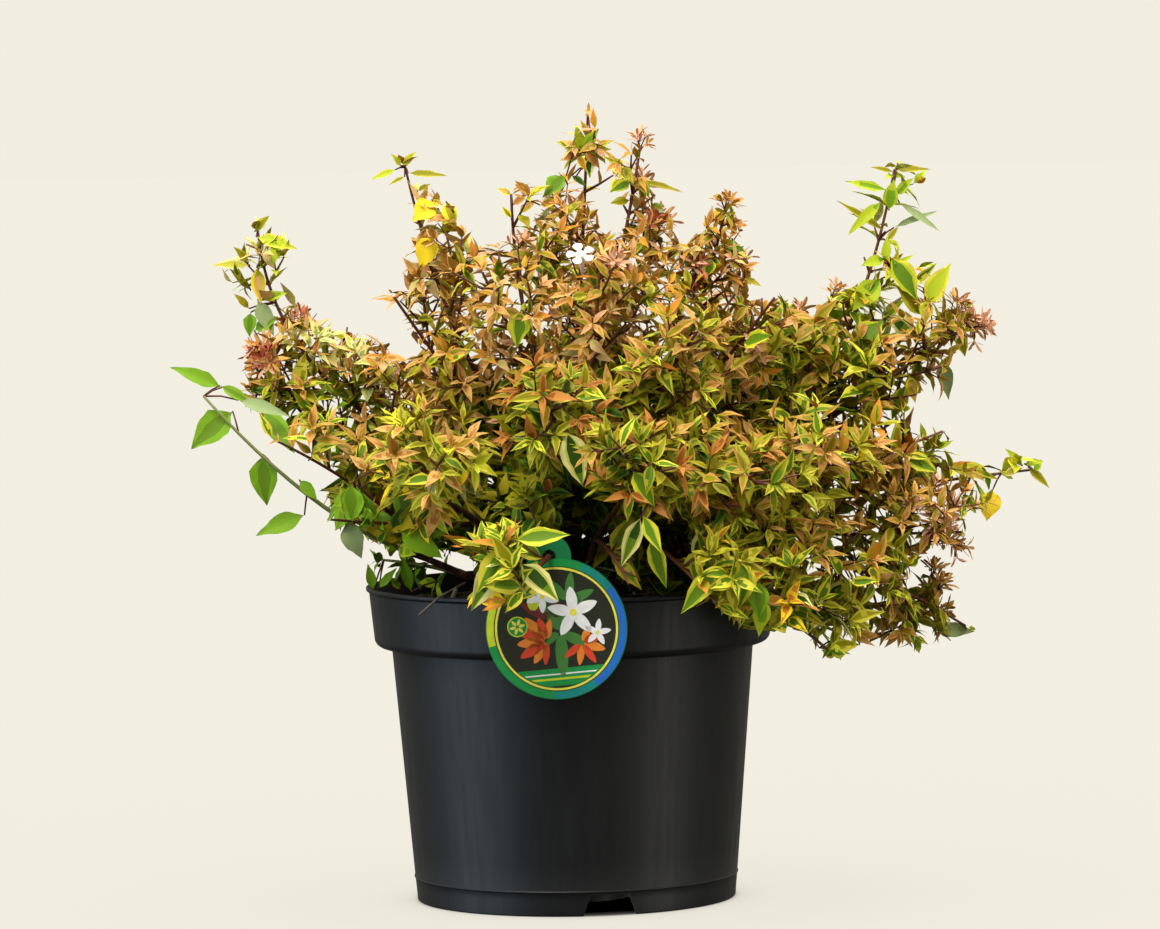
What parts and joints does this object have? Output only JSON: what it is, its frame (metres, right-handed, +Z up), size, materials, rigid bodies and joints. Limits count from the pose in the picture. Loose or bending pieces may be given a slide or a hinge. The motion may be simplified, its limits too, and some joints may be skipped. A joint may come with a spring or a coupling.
{
  "type": "potted kaleidoscope glossy abelia",
  "caption": "Compact flowering shrub with variegated bronze, green and gold leaves on arching stems, standing in a round black nursery pot.",
  "frame": {"origin": "middle of the pot's flat centre foot, on the floor it stands on", "axes": "+Z up, +X the plant's right as it is looked at and its widest way, -Y its front with the label"},
  "size_m": [0.4929, 0.3704, 0.4459],
  "materials": {
    "pot_plastic": "satin black injection-moulded plastic with fine vertical streaks",
    "compost": "moist dark brown potting compost with fibres and bark crumbs",
    "label_print": "thin glossy printed plastic",
    "bark": "thin reddish-brown bark, peeling and paler low down",
    "foliage_bronze": "orange-bronze young leaves with a soft gloss",
    "foliage_olive": "olive leaves with yellow margins, soft gloss",
    "foliage_green": "plain green leaves, soft gloss",
    "foliage_lime": "green leaves with broad lime-yellow margins, soft gloss",
    "foliage_rose": "pink-bronze sepals and young leaves",
    "foliage_gold": "golden yellow leaves with some green"
  },
  "bodies": {
    "root": {"pot": "pot_plastic", "compost": "compost", "picture_label": "label_print", "root_crown": "bark", "left_bough": "bark", "upper_left_bough": "bark", "runner_bough": "bark", "left_low_bough": "bark", "top_bough": "bark", "crest_bough": "bark", "tall_right_bough": "bark", "right_bough": "bark", "low_right_bough": "bark", "front_right_bough": "bark", "front_bough": "bark", "front_left_bough": "bark", "centre_bough": "bark", "back_left_bough": "bark", "back_bough": "bark", "back_right_bough": "bark", "left_tall": "foliage_green", "left_rose": "foliage_rose", "left_head": "foliage_bronze", "upper_left": "foliage_lime", "left_middle": "foliage_bronze", "green_runner": "foliage_green", "left_wing": "foliage_olive", "left_low": "foliage_green", "rim_sprout": "foliage_green", "left_front": "foliage_olive", "top_spire": "foliage_bronze", "top_head": "foliage_bronze", "top_left": "foliage_olive", "crest": "foliage_bronze", "shoulder": "foliage_bronze", "tall_right": "foliage_lime", "right_rose": "foliage_rose", "right_inner": "foliage_bronze", "right_wing": "foliage_olive", "far_right": "foliage_gold", "right_calyx": "foliage_rose", "right_front": "foliage_olive", "low_right": "foliage_olive", "low_right_front": "foliage_lime", "front_right": "foliage_lime", "front_right_middle": "foliage_olive", "front_centre": "foliage_lime", "front_middle": "foliage_olive", "front_left": "foliage_lime", "front_centre_high": "foliage_olive", "centre_left_high": "foliage_bronze", "centre_high": "foliage_bronze", "centre_right_high": "foliage_olive", "back_left_high": "foliage_bronze", "back_left_low": "foliage_green", "back_high": "foliage_bronze", "back_low": "foliage_olive", "back_right_high": "foliage_bronze", "back_right_low": "foliage_olive"}
  },
  "joints": []
}
